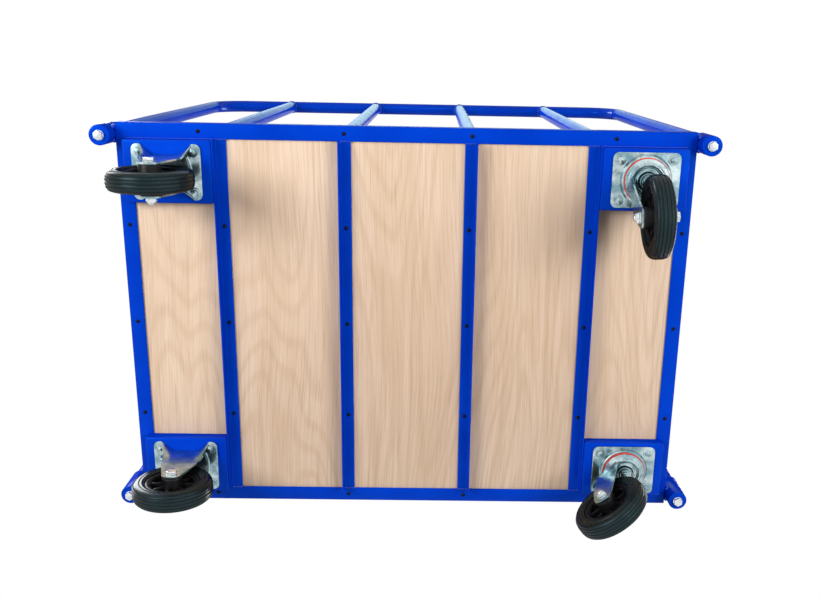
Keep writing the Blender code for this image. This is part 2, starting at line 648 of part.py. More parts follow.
def fork_mesh():
    """Fork: round crown on the kingpin and two legs that sweep back to the trailing axle."""
    bore = KINGPIN_DIAMETER / 2 + BOLT_CLEARANCE
    crown = lathe("fork", [(bore, CROWN_LOW_Z), (CROWN_RADIUS, CROWN_LOW_Z),
                           (CROWN_RADIUS, CROWN_TOP_Z - CROWN_THICKNESS / 3),
                           (CROWN_RADIUS - CROWN_THICKNESS / 2, CROWN_TOP_Z), (bore, CROWN_TOP_Z)],
                  RACE_STEPS)
    chord = FORK_LEG_TOP / 2
    root_z = CROWN_LOW_Z + CROWN_THICKNESS / 2
    front = [(-chord, root_z)]
    front += sweep_in((-chord, CROWN_LOW_Z), (SWIVEL_TRAIL - LEG_END_RADIUS, AXLE_Z),
                      FORK_SWEEP)
    back = [(SWIVEL_TRAIL + LEG_END_RADIUS, AXLE_Z + LEG_END_RADIUS), (chord, CROWN_LOW_Z), (chord, root_z)]
    joined = combine(crown, "UNION", leg_pair(front + leg_end(SWIVEL_TRAIL) + back))
    return combine(joined, "DIFFERENCE", [axle_hole(SWIVEL_TRAIL)])


def build_castors():
    tyre = tyre_mesh()
    rim = rim_mesh()
    axle = axle_mesh()
    nut = nut_mesh()
    bracket = fixed_bracket_mesh()
    plate = swivel_plate_mesh()
    kingpin = kingpin_mesh()
    seal = seal_mesh()
    fork = fork_mesh()
    angles = {"left": SWIVEL_ANGLE_LEFT, "right": SWIVEL_ANGLE_RIGHT}

    for side, sign in SIDES:
        seat = pivot("fixed_seat_" + side, (-CASTOR_X, sign * CASTOR_Y, 0))
        spin = pivot("fixed_spin_" + side, (0, 0, AXLE_Z), parent=seat)
        add("fixed_bracket_" + side, bracket, ZINC, seat)
        add("fixed_axle_" + side, axle, ZINC, spin)
        add("fixed_axle_nut_" + side, nut, ZINC, spin)
        add("fixed_rim_" + side, rim, BLACK_PLASTIC, spin)
        add("fixed_tyre_" + side, tyre, RUBBER, spin)

    for side, sign in SIDES:
        seat = pivot("swivel_seat_" + side, (CASTOR_X, sign * CASTOR_Y, 0))
        add("swivel_plate_" + side, plate, ZINC, seat)
        add("swivel_kingpin_" + side, kingpin, ZINC, seat)
        add("swivel_seal_" + side, seal, RED_SEAL, seat)
        turn = pivot("swivel_turn_" + side, (0, 0, 0), angles[side], seat)
        spin = pivot("swivel_spin_" + side, (SWIVEL_TRAIL, 0, AXLE_Z), parent=turn)
        add("swivel_fork_" + side, fork, ZINC, turn)
        add("swivel_axle_" + side, axle, ZINC, spin)
        add("swivel_axle_nut_" + side, nut, ZINC, spin)
        add("swivel_rim_" + side, rim, BLACK_PLASTIC, spin)
        add("swivel_tyre_" + side, tyre, RUBBER, spin)


build_frame()
build_pans()
build_hoops()
build_sockets()
build_castors()
bpy.context.view_layer.update()
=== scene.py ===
import json
import math

import bmesh
import bpy
from mathutils import Matrix, Vector

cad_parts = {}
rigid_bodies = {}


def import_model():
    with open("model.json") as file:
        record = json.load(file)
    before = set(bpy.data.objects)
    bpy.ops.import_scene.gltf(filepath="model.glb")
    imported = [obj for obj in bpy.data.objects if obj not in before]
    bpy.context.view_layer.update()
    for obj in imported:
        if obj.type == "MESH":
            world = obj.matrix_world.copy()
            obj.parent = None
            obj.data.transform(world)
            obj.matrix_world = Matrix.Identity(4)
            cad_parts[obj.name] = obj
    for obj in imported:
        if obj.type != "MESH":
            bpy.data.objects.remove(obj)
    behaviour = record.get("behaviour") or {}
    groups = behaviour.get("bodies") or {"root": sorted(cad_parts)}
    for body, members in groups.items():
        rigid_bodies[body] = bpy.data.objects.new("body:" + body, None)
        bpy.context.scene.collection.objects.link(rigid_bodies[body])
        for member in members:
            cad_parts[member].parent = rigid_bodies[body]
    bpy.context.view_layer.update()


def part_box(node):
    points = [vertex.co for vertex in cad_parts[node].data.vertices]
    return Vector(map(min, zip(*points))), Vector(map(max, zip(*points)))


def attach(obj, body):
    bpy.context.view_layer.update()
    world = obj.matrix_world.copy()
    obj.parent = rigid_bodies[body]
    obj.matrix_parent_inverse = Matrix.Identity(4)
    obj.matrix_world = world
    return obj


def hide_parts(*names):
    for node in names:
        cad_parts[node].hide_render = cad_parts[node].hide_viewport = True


for leftover in list(bpy.data.objects):
    bpy.data.objects.remove(leftover, do_unlink=True)

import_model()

# places read from the solids
deckLow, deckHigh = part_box("deck_panel")
railLow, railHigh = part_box("side_rail_left")
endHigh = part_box("end_rail_swivel")[1]
panLow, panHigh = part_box("castor_pan_swivel_left")
plateLow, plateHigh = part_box("swivel_plate_left")
socketLow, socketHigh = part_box("corner_socket_swivel_left")
sealLow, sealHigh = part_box("swivel_seal_left")
tyreLow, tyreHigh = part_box("fixed_tyre_left")
hoopLow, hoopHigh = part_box("hoop_tube_left")
sillLow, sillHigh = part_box("hoop_lower_bar_left")
crossLow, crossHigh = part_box("cross_member_4")
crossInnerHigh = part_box("cross_member_3")[1]

frameZ = railLow.z
castorX = (plateLow.x + plateHigh.x) / 2
castorY = (plateLow.y + plateHigh.y) / 2
axleZ = (tyreLow.z + tyreHigh.z) / 2
raceDepth = 0.0083
plateZ = sealHigh.z + raceDepth   # underside of the castor plates
plateTopZ = plateHigh.z
signs = (-1, 1)
sides = (("left", 1), ("right", -1))
ends = (("fixed", -1), ("swivel", 1))
corners = [(end + "_" + side, endSign, sideSign) for end, endSign in ends for side, sideSign in sides]
swivelAngle = {"left": math.radians(143), "right": math.radians(87)}
swivelTrail = 0.054
print("frame loaded, frame underside at", round(frameZ, 4))


# finishes

glossHeldTo = 0.15   # share of slant up to which the gloss stays whole


def startFinish(name):
    finish = bpy.data.materials.new(name)
    finish.use_nodes = True
    tree = finish.node_tree
    return finish, tree, tree.nodes["Principled BSDF"]


def addNode(tree, kind, inputs=None, **settings):
    made = tree.nodes.new(kind)
    for key, value in settings.items():
        setattr(made, key, value)
    for key, value in (inputs or {}).items():
        if hasattr(value, "is_output"):
            tree.links.new(value, made.inputs[key])
        else:
            made.inputs[key].default_value = value
    return made


def feed(tree, shader, key, value):
    tree.links.new(value, shader.inputs[key])


def combine(tree, operation, *values):
    return addNode(tree, "ShaderNodeMath", dict(enumerate(values)), operation=operation).outputs[0]


def objectPlace(tree):
    return addNode(tree, "ShaderNodeTexCoord").outputs["Object"]


def stretched(tree, place, scale):
    return addNode(tree, "ShaderNodeMapping", {"Vector": place, "Scale": scale}).outputs[0]


def speckle(tree, place, scale, detail=3.0, roughness=0.5):
    inputs = {"Vector": place, "Scale": scale, "Detail": detail, "Roughness": roughness}
    return addNode(tree, "ShaderNodeTexNoise", inputs).outputs[0]


def spread(tree, value, low, high, toLow, toHigh):
    inputs = {"Value": value, "From Min": low, "From Max": high, "To Min": toLow, "To Max": toHigh}
    return addNode(tree, "ShaderNodeMapRange", inputs).outputs[0]


def blend(tree, share, first, second):
    made = addNode(tree, "ShaderNodeMix", data_type="RGBA")
    tree.links.new(share, next(s for s in made.inputs if s.name == "Factor" and s.type == "VALUE"))
    for key, value in (("A", first), ("B", second)):
        entry = next(s for s in made.inputs if s.name == key and s.type == "RGBA")
        if hasattr(value, "is_output"):
            tree.links.new(value, entry)
        else:
            entry.default_value = (*value, 1.0)
    return next(s for s in made.outputs if s.type == "RGBA")


def relief(tree, shader, height, strength, depth):
    inputs = {"Height": height, "Strength": strength, "Distance": depth}
    feed(tree, shader, "Normal", addNode(tree, "ShaderNodeBump", inputs).outputs[0])


def glossBySlant(tree, shader, shine, least, steep):
    # gloss that doesn't turn white where the surface is seen edge on
    slant = addNode(tree, "ShaderNodeLayerWeight").outputs["Facing"]
    feed(tree, shader, "Specular IOR Level", spread(tree, slant, glossHeldTo, steep, shine, least))
    shader.inputs["Specular IOR Level"].default_value = shine   # what an export without the link keeps


def makeBluePaint(name, shine, gloss, tint, edgeShine):
    look = {"deep": (0.0003, 0.027, 0.40), "bright": (0.0005, 0.040, 0.50), "cloud": 7.0, "patch": 40.0,
            "uneven": 0.08, "steep": 0.58, "peel": 260.0, "dust": 1400.0}
    finish, tree, shader = startFinish(name)
    place = objectPlace(tree)
    cloud = spread(tree, speckle(tree, place, look["cloud"]), 0.3, 0.7, 0.0, 1.0)
    feed(tree, shader, "Base Color", blend(tree, cloud, look["deep"], look["bright"]))
    patch = speckle(tree, place, look["patch"])
    feed(tree, shader, "Roughness", spread(tree, patch, 0.3, 0.7, gloss, gloss + look["uneven"]))
    glossBySlant(tree, shader, shine, edgeShine, look["steep"])
    shader.inputs["Specular Tint"].default_value = (*tint, 1.0)
    peel = combine(tree, "ADD", speckle(tree, place, look["peel"], 1.0),
                   speckle(tree, place, look["dust"], 1.0))
    relief(tree, shader, peel, 0.05, 0.0003)
    return finish


def makePlywood():
    look = {"pale": (0.68, 0.525, 0.395), "tan": (0.585, 0.425, 0.295), "streak": (0.36, 0.22, 0.13),
            "ring": (0.45, 0.29, 0.18), "rings": 170.0, "sway": 0.08, "swayStretch": (3.0, 1.6, 1.0),
            "gloss": 0.25}
    finish, tree, shader = startFinish("plywood_face")
    # grain runs along Y and sways a little to the side
    straight = objectPlace(tree)
    slow = {"Vector": stretched(tree, straight, look["swayStretch"]), "Scale": 1.0, "Detail": 1.0}
    slow = addNode(tree, "ShaderNodeTexNoise", slow).outputs[1]
    sway = {0: slow, 1: (look["sway"], 0.0, 0.0)}
    sway = addNode(tree, "ShaderNodeVectorMath", sway, operation="MULTIPLY").outputs[0]
    place = addNode(tree, "ShaderNodeVectorMath", {0: straight, 1: sway}, operation="ADD").outputs[0]

    def along(stretch, scale, detail, roughness):
        return speckle(tree, stretched(tree, place, (1, stretch, 1)), scale, detail, roughness)

    # growth rings: level lines of a slow field, long loops along the grain
    field = along(0.16, 4.6, 2.0, 0.35)
    rings = combine(tree, "SINE", combine(tree, "MULTIPLY", field, look["rings"]))
    bands = along(0.08, 24.0, 3.0, 0.55)
    grain = along(0.014, 300.0, 3.0, 0.6)
    pores = along(0.014, 720.0, 2.0, 0.5)
    clouds = along(0.5, 4.5, 2.0, 0.5)
    face = look["pale"]
    # each layer: where it starts and is full, its least and most share, its colour
    for layer, low, high, least, most, colour in (
            (bands, 0.35, 0.65, 0.1, 0.8, "tan"), (rings, 0.0, 1.0, 0.0, 0.25, "ring"),
            (grain, 0.48, 0.72, 0.0, 0.28, "streak"), (pores, 0.54, 0.68, 0.0, 0.40, "streak"),
            (clouds, 0.35, 0.70, 0.0, 0.25, "tan")):
        face = blend(tree, spread(tree, layer, low, high, least, most), face, look[colour])
    feed(tree, shader, "Base Color", face)
    feed(tree, shader, "Roughness", spread(tree, grain, 0.3, 0.7, 0.50, 0.68))
    shader.inputs["Specular IOR Level"].default_value = look["gloss"]
    relief(tree, shader, pores, 0.12, 0.0002)
    return finish


def makeZinc(name, cool, warm, reflectedShade):
    look = {"driftAndReflection": 26.0, "cloud": 75.0, "rough": (0.16, 0.27)}
    finish, tree, shader = startFinish(name)
    place = objectPlace(tree)
    # The two-tone patches and the darker clouds are partly cloudy plating and partly painted reflection of
    # light and dark surroundings.
    driftAndReflection = speckle(tree, place, look["driftAndReflection"], 2.0)
    cloud = speckle(tree, place, look["cloud"], 3.0, 0.6)
    face = blend(tree, spread(tree, driftAndReflection, 0.38, 0.62, 0.0, 1.0), cool, warm)
    face = blend(tree, spread(tree, cloud, 0.45, 0.72, 0.0, 0.70), face, reflectedShade)
    feed(tree, shader, "Base Color", face)
    feed(tree, shader, "Roughness", spread(tree, cloud, 0.3, 0.7, *look["rough"]))
    shader.inputs["Metallic"].default_value = 1.0
    relief(tree, shader, cloud, 0.06, 0.0004)
    return finish


def makeDark(name, deep, grey, rough, grainScale, bump, shine, tint=(1, 1, 1)):
    look = {"dust": 60.0, "uneven": 0.07, "edgeShine": 0.003, "steep": 0.75}
    finish, tree, shader = startFinish(name)
    place = objectPlace(tree)
    dust = speckle(tree, place, look["dust"], 4.0, 0.6)
    grain = speckle(tree, place, grainScale, 2.0)
    face = blend(tree, spread(tree, dust, 0.35, 0.75, 0.0, 1.0), deep, grey)
    feed(tree, shader, "Base Color", face)
    feed(tree, shader, "Roughness",
         spread(tree, grain, 0.3, 0.7, rough - look["uneven"], rough + look["uneven"]))
    glossBySlant(tree, shader, shine, look["edgeShine"], look["steep"])
    shader.inputs["Specular Tint"].default_value = (*tint, 1.0)
    relief(tree, shader, grain, bump, 0.0002)
    return finish


bluePaint = makeBluePaint("blue_powder_coat", shine=0.45, gloss=0.15, tint=(0.01, 0.30, 1.0),
                          edgeShine=0.0004)
hoopPaint = makeBluePaint("blue_coat_on_hoops", shine=0.45, gloss=0.15, tint=(0.04, 0.30, 1.0),
                          edgeShine=0.0045)
weldPaint = makeBluePaint("blue_coat_on_welds", shine=1.0, gloss=0.05, tint=(0.6, 0.85, 1.0),
                          edgeShine=0.0045)
plywood = makePlywood()
# The plates' zinc is teal and dark: painted reflection of the blue paint and of dark surroundings.
zinc = makeZinc("bright_zinc_painted_reflections", cool=(0.22, 0.36, 0.41), warm=(0.56, 0.67, 0.68),
                reflectedShade=(0.07, 0.16, 0.20))
# The bolts' zinc is lighter; its darker clouds are painted reflection as well.
boltZinc = makeZinc("bolt_zinc", cool=(0.66, 0.71, 0.72), warm=(0.80, 0.82, 0.81),
                    reflectedShade=(0.48, 0.55, 0.56))
rubber = makeDark("black_rubber", deep=(0.001, 0.002, 0.0025), grey=(0.003, 0.006, 0.007), rough=0.24,
                  grainScale=900.0, bump=0.025, shine=0.44, tint=(0.55, 0.90, 1.0))
blackPlastic = makeDark("black_plastic", deep=(0.003, 0.003, 0.004), grey=(0.008, 0.008, 0.009),
                        rough=0.32, grainScale=700.0, bump=0.06, shine=0.20)
redSeal = makeDark("red_seal", deep=(0.50, 0.022, 0.012), grey=(0.66, 0.06, 0.03), rough=0.28,
                   grainScale=500.0, bump=0.04, shine=0.40)
screwBlack = makeDark("black_screw", deep=(0.002, 0.002, 0.003), grey=(0.007, 0.007, 0.008), rough=0.30,
                      grainScale=800.0, bump=0.04, shine=0.15)
print("finishes ready")


# modelling helpers

mergeDistance = 0.000002
near = 0.0001
smoothLimit = math.radians(38)
onAxle = Matrix.Rotation(-math.pi / 2, 4, "X")   # a turned piece's axis onto +Y
alongX = Matrix.Rotation(math.pi / 2, 4, "Y")    # a standing piece laid along X


def move(x, y, z):
    return Matrix.Translation((x, y, z))


def turnZ(angle):
    return Matrix.Rotation(angle, 4, "Z")


def vertsOf(geom):
    return [g for g in geom if isinstance(g, bmesh.types.BMVert)]


def edgesOf(geom):
    return [g for g in geom if isinstance(g, bmesh.types.BMEdge)]


def placed(bm, matrix):
    bmesh.ops.transform(bm, matrix=matrix, verts=bm.verts[:])
    return bm


def tidyMesh(bm):
    bmesh.ops.remove_doubles(bm, verts=bm.verts[:], dist=mergeDistance)
    bmesh.ops.recalc_face_normals(bm, faces=bm.faces[:])


def isLevel(e):
    return abs(e.verts[0].co.z - e.verts[1].co.z) < near / 10


def soften(bm, width, segments=2, angle=30, picked=None):
    tidyMesh(bm)
    limit = math.radians(angle)
    edges = [e for e in bm.edges if len(e.link_faces) == 2 and e.calc_face_angle(0) > limit
             and (picked is None or picked(e))]
    bmesh.ops.bevel(bm, geom=edges, offset=width, offset_type="OFFSET", affect="EDGES", segments=segments,
                    profile=0.5, material=-1, clamp_overlap=True)
    return bm


def turned(profile, steps, edge=0.0, segments=2):
    # closed outline of (radius, height), spun about Z
    bm = bmesh.new()
    verts = [bm.verts.new((radius, 0, z)) for radius, z in profile]
    edges = [bm.edges.new((verts[i - 1], verts[i])) for i in range(len(verts))]
    bmesh.ops.spin(bm, geom=verts + edges, cent=(0, 0, 0), axis=(0, 0, 1), angle=2 * math.pi, steps=steps,
                   use_merge=True)
    tidyMesh(bm)
    bmesh.ops.dissolve_degenerate(bm, dist=mergeDistance, edges=bm.edges[:])
    if edge:
        soften(bm, edge, segments)
    return bm


def raiseFace(bm, vec):
    grown = bmesh.ops.extrude_face_region(bm, geom=bm.faces[:])["geom"]
    bmesh.ops.translate(bm, verts=vertsOf(grown), vec=vec)


def slab(outline, low, high):
    bm = bmesh.new()
    bm.faces.new([bm.verts.new((x, y, low)) for x, y in outline])
    raiseFace(bm, (0, 0, high - low))
    tidyMesh(bm)
    return bm


def brick(size, centre):
    bm = bmesh.new()
    place = Matrix.Translation(centre) @ Matrix.Diagonal((*size, 1.0))
    bmesh.ops.create_cube(bm, size=1.0, matrix=place)
    return bm


def hexBlock(flats, low, high, chamfer):
    bm = bmesh.new()
    bmesh.ops.create_circle(bm, cap_ends=True, segments=6, radius=flats / 2 / math.cos(math.pi / 6),
                            matrix=move(0, 0, low))
    raiseFace(bm, (0, 0, high - low))
    return soften(bm, chamfer, picked=isLevel)


def join(target, bm, place=None):
    if place is not None:
        placed(bm, place)
    mesh = bpy.data.meshes.new("join")
    bm.to_mesh(mesh)
    bm.free()
    target.from_mesh(mesh)
    bpy.data.meshes.remove(mesh)
    return target


def addPiece(name, bm, finish, body, nodes=(), place=None):
    if place is not None:
        placed(bm, place)
    tidyMesh(bm)
    mesh = bpy.data.meshes.new(name)
    bm.to_mesh(mesh)
    bm.free()
    mesh.shade_smooth()
    mesh.set_sharp_from_angle(angle=smoothLimit)
    mesh.materials.append(finish)
    piece = bpy.data.objects.new(name, mesh)
    bpy.context.scene.collection.objects.link(piece)
    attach(piece, body)
    if nodes:
        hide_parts(*nodes)


def addBlue(name, bm, nodes=(), place=None, finish=bluePaint):
    addPiece(name, bm, finish, "chassis", nodes, place)


def addZinc(name, bm, nodes=(), place=None, finish=zinc, body="chassis"):
    addPiece(name, bm, finish, body, nodes, place)


# deck board

deckBoard = {"edge": 0.0008}
board = brick(deckHigh - deckLow, (deckHigh + deckLow) / 2)
soften(board, deckBoard["edge"])
addPiece("deck_board", board, plywood, "chassis", ["deck_panel"])
print("deck board done")


# rails and cross members of rolled angle

rail = {"wall": 0.003, "toe": 0.0012, "root": 0.003}


def angleBar(length, width, mitred):
    # along X, outer face on Y 0, flange to -Y, leg up
    wall = rail["wall"]
    section = [(0, 0), (-width, 0), (-width, wall), (-wall, wall), (-wall, width), (0, width)]
    bm = bmesh.new()
    bm.faces.new([bm.verts.new((-length / 2, y, z)) for y, z in section])
    raiseFace(bm, (length, 0, 0))
    tidyMesh(bm)

    def lengthwise(e):
        return abs(e.verts[0].co.x - e.verts[1].co.x) > length / 2

    def atRoot(e):
        spot = e.verts[0].co
        return lengthwise(e) and abs(spot.y + wall) < near and abs(spot.z - wall) < near

    soften(bm, rail["toe"], 3, picked=lambda e: lengthwise(e) and not atRoot(e))
    soften(bm, rail["root"], 4, picked=atRoot)
    if mitred:
        for end in signs:
            bmesh.ops.bisect_plane(bm, geom=bm.verts[:] + bm.edges[:] + bm.faces[:], dist=0.000001,
                                   plane_co=(end * length / 2, 0, 0), plane_no=(end, -1, 0),
                                   clear_outer=True)
            bmesh.ops.edgeloop_fill(bm, edges=[e for e in bm.edges if e.is_boundary])
    return bm


railLeg = railHigh.z - railLow.z
for side, sign in sides:
    place = move(0, sign * railHigh.y, frameZ) @ turnZ(0 if sign > 0 else math.pi)
    addBlue("long_rail_" + side, angleBar(2 * endHigh.x, railLeg, True), ["side_rail_" + side], place)
for end, sign in ends:
    place = move(sign * endHigh.x, 0, frameZ) @ turnZ(-sign * math.pi / 2)
    addBlue("short_rail_" + end, angleBar(2 * railHigh.y, railLeg, True), ["end_rail_" + end], place)

crossLeg = crossHigh.z - crossLow.z
crossXs = (-crossHigh.x, -crossInnerHigh.x, crossInnerHigh.x, crossHigh.x)
for number, x in enumerate(crossXs, 1):
    # turned over, with the flange under the deck and towards the middle
    inward = 1 if x < 0 else -1
    place = Matrix(((0, -inward, 0, x), (1, 0, 0, 0), (0, 0, -1, crossHigh.z), (0, 0, 0, 1)))
    addBlue("cross_bar_%d" % number, angleBar(crossHigh.y - crossLow.y, crossLeg, False),
            ["cross_member_%d" % number], place)
print("rails and cross bars done")


# folded pans

pan = {"wall": 0.003, "fold": 0.0045}


def panBody():
    bm = brick(panHigh - panLow, (0, 0, (panHigh.z + panLow.z) / 2))
    top = [f for f in bm.faces if f.calc_center_median().z > panHigh.z - near]
    bmesh.ops.delete(bm, geom=top, context="FACES")
    soften(bm, pan["fold"], 5)
    bmesh.ops.solidify(bm, geom=bm.faces[:], thickness=pan["wall"])
    return bm


for corner, endSign, sideSign in corners:
    addBlue("castor_tray_" + corner, panBody(), ["castor_pan_" + corner],
            move(endSign * castorX, sideSign * castorY, 0))
print("pans done")


# sockets and their bolts

socket = {"wall": 0.003, "floor": 0.004, "rim": 0.0014, "bolt": 0.010, "clearance": 0.0004, "flats": 0.017,
          "chamfer": 0.0012, "washer": 0.020, "washerGap": 0.0003, "washerSeat": 0.0023, "edge": 0.0004}
socketX = (socketLow.x + socketHigh.x) / 2
socketY = (socketLow.y + socketHigh.y) / 2
socketRadius = (socketHigh.x - socketLow.x) / 2


def socketBody():
    bore = socketRadius - socket["wall"]
    floorZ = socketLow.z + socket["floor"]
    hole = socket["bolt"] / 2 + socket["clearance"]
    return turned([(hole, socketLow.z), (socketRadius, socketLow.z), (socketRadius, socketHigh.z),
                   (bore, socketHigh.z), (bore, floorZ), (hole, floorZ)], 48, socket["rim"], 3)


def socketBolt():
    low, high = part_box("socket_bolt_swivel_left")
    seat = socketLow.z - socket["washerSeat"]
    under = socketLow.z - socket["washerGap"]
    shank, washer = socket["bolt"] / 2, socket["washer"] / 2
    bm = turned([(0, seat), (washer, seat), (washer, under), (shank, under), (shank, high.z), (0, high.z)],
                32, socket["edge"])
    return join(bm, hexBlock(socket["flats"], low.z, seat + 0.0002, socket["chamfer"]))


for corner, endSign, sideSign in corners:
    place = move(endSign * socketX, sideSign * socketY, 0)
    addBlue("stake_socket_" + corner, socketBody(), ["corner_socket_" + corner], place)
    addZinc("socket_screw_" + corner, socketBolt(), ["socket_bolt_" + corner], place, boltZinc)
print("sockets done")


# side hoops, their bars as thick as in the photo and so a little over the solids

hoop = {"radius": 0.016, "bend": 0.095, "around": 40, "bendSteps": 18, "bar": 0.0158, "barAround": 32,
        "sink": 0.0012}
ringWeld = {"thick": 0.0018, "off": 0.0002, "around": 8, "steps": 72, "ripples": 22, "ripple": 0.18}
hoopTopZ = hoopHigh.z - hoop["radius"]
sillZ = (sillLow.z + sillHigh.z) / 2
stakeBoxes = [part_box("hoop_bar_left_%d" % number) for number in (1, 2, 3, 4)]
stakeXs = [(low.x + high.x) / 2 for low, high in stakeBoxes]


def hoopBody():
    bm = bmesh.new()
    bmesh.ops.create_circle(bm, cap_ends=True, segments=hoop["around"], radius=hoop["radius"],
                            matrix=move(-socketX, 0, hoopLow.z))
    bendX = socketX - hoop["bend"]
    bendZ = hoopTopZ - hoop["bend"]

    def push(edges, vec):
        grown = bmesh.ops.extrude_edge_only(bm, edges=edges)["geom"]
        bmesh.ops.translate(bm, verts=vertsOf(grown), vec=vec)
        return edgesOf(grown)

    def curl(edges, centre):
        spun = bmesh.ops.spin(bm, geom=edges, cent=centre, axis=(0, 1, 0), angle=math.pi / 2,
                              steps=hoop["bendSteps"])
        return edgesOf(spun["geom_last"])

    loop = push(bm.edges[:], (0, 0, bendZ - hoopLow.z))
    loop = curl(loop, (-bendX, 0, bendZ))
    loop = push(loop, (2 * bendX, 0, 0))
    loop = curl(loop, (bendX, 0, bendZ))
    loop = push(loop, (0, 0, hoopLow.z - bendZ))
    bmesh.ops.edgeloop_fill(bm, edges=loop)
    return bm


def saddle(offset, radius):
    # how far a tube's skin stands off its axis at a sideways offset
    return math.sqrt(max(0.0, radius * radius - offset * offset))


def onBar(offset):
    return saddle(offset, hoop["bar"])


def onTube(offset):
    return saddle(offset, hoop["radius"])


def underTube(offset):
    return -onTube(offset)


def copedTube(span, lowSkin, highSkin):
    # tube along Z between two crossing tubes on X, its ends cut to their skins
    bm = bmesh.new()
    bmesh.ops.create_cone(bm, cap_ends=True, segments=hoop["barAround"], radius1=hoop["bar"],
                          radius2=hoop["bar"], depth=span, matrix=move(0, 0, span / 2))
    for vert in bm.verts:
        if vert.co.z < span / 2:
            vert.co.z = lowSkin(vert.co.y) - hoop["sink"]
        else:
            vert.co.z = span - highSkin(vert.co.y) + hoop["sink"]
    return bm


def weldRing(skin):
    # rippled bead round a bar, laid on the skin of the tube that it meets
    bm = bmesh.new()
    start = move(hoop["bar"] + ringWeld["off"], 0, 0) @ Matrix.Rotation(math.pi / 2, 4, "X")
    bmesh.ops.create_circle(bm, segments=ringWeld["around"], radius=ringWeld["thick"], matrix=start)
    bmesh.ops.spin(bm, geom=bm.verts[:] + bm.edges[:], cent=(0, 0, 0), axis=(0, 0, 1),
                   angle=2 * math.pi, steps=ringWeld["steps"], use_merge=True)
    for vert in bm.verts:
        wave = math.sin(ringWeld["ripples"] * math.atan2(vert.co.y, vert.co.x))
        vert.co.z = vert.co.z * (1.0 + ringWeld["ripple"] * wave) + skin(vert.co.y)
    return bm


for side, sign in sides:
    y = sign * socketY
    addBlue("hoop_" + side, hoopBody(), ["hoop_tube_" + side], move(0, y, 0), hoopPaint)
    addBlue("hoop_sill_" + side, copedTube(2 * socketX, onTube, onTube), ["hoop_lower_bar_" + side],
            move(-socketX, y, sillZ) @ alongX, hoopPaint)
    welds = bmesh.new()
    for number, x in enumerate(stakeXs, 1):
        tag = "%s_%d" % (side, number)
        addBlue("hoop_stake_" + tag, copedTube(hoopTopZ - sillZ, onBar, onTube), ["hoop_bar_" + tag],
                move(x, y, sillZ), hoopPaint)
        join(welds, weldRing(onBar), move(x, y, sillZ))
        join(welds, weldRing(underTube), move(x, y, hoopTopZ))
    for end in signs:
        turn = Matrix.Rotation(-end * math.pi / 2, 4, "Y")
        join(welds, weldRing(onTube), move(end * socketX, y, sillZ) @ turn)
    addBlue("hoop_welds_" + side, welds, finish=weldPaint)
print("hoops done")


# frame welds: rows of overlapping blobs, and a thin seam along each pan

blob = {"around": 8, "up": 6, "swell": 0.12, "swellTurn": 2.3}
weld = {"radius": 0.0021, "pitch": 0.0026, "crossFrom": 0.004, "crossTo": 0.001, "downFrom": 0.002,
        "downTo": 0.006, "panEnd": 0.004, "panOuter": 0.030, "panInner": 0.036, "seam": 0.0013,
        "seamShort": 0.006}
socketWeld = {"radius": 0.0045, "pitch": 0.0030, "apart": 0.013, "out": 0.004, "end": 0.001}
frameWelds = bmesh.new()
flangeY = railHigh.y - railLeg


def bead(start, end, kind):
    start, end = Vector(start), Vector(end)
    count = max(2, int((end - start).length / kind["pitch"]) + 1)
    for i in range(count):
        place = start.lerp(end, i / (count - 1))
        radius = kind["radius"] * (1.0 + blob["swell"] * math.sin(blob["swellTurn"] * i))
        bmesh.ops.create_uvsphere(frameWelds, u_segments=blob["around"], v_segments=blob["up"],
                                  radius=radius, matrix=Matrix.Translation(place))


for x in crossXs:
    inward = 1 if x < 0 else -1
    for sign in signs:
        y = sign * flangeY
        bead((x + inward * weld["crossFrom"], y, frameZ),
             (x + inward * (crossLeg - weld["crossTo"]), y, frameZ), weld)
        bead((x, y, frameZ - weld["downFrom"]), (x, y, crossLow.z + weld["downTo"]), weld)
panRuns = ((panLow.x + weld["panEnd"], panLow.x + weld["panOuter"]),
           (panHigh.x - weld["panInner"], panHigh.x - weld["panEnd"]))
for endSign in signs:
    weldX = endSign * (endHigh.x + socketWeld["out"])
    for sideSign in signs:
        y = sideSign * flangeY
        for first, last in panRuns:
            bead((endSign * first, y, panHigh.z), (endSign * last, y, panHigh.z), weld)
        bmesh.ops.create_cone(frameWelds, cap_ends=True, segments=8, radius1=weld["seam"],
                              radius2=weld["seam"], depth=panHigh.x - panLow.x - weld["seamShort"],
                              matrix=move(endSign * castorX, y, panHigh.z) @ alongX)
        for off in signs:
            weldY = sideSign * socketY + off * socketWeld["apart"]
            bead((weldX, weldY, frameZ + socketWeld["end"]),
                 (weldX, weldY, railHigh.z - socketWeld["end"]), socketWeld)
addBlue("frame_welds", frameWelds, finish=weldPaint)


# deck screws, their head's outline in shares of its radius and height

deckScrew = {"radius": 0.0041, "height": 0.0024, "sunk": 0.0002, "steps": 16, "longRailX": (0.127, 0.413),
             "across": 0.25, "crossIn": 0.014,
             "outline": [(0, 0.35), (0.28, 0.40), (0.36, 0.98), (0.62, 0.88), (0.90, 0.50), (1, 0.12)]}
screwRow = bmesh.new()


def screwHead():
    radius, sunk = deckScrew["radius"], deckScrew["sunk"]
    outline = [(radius * r, -deckScrew["height"] * h) for r, h in deckScrew["outline"]]
    return turned(outline + [(radius, sunk), (0, sunk)], deckScrew["steps"])


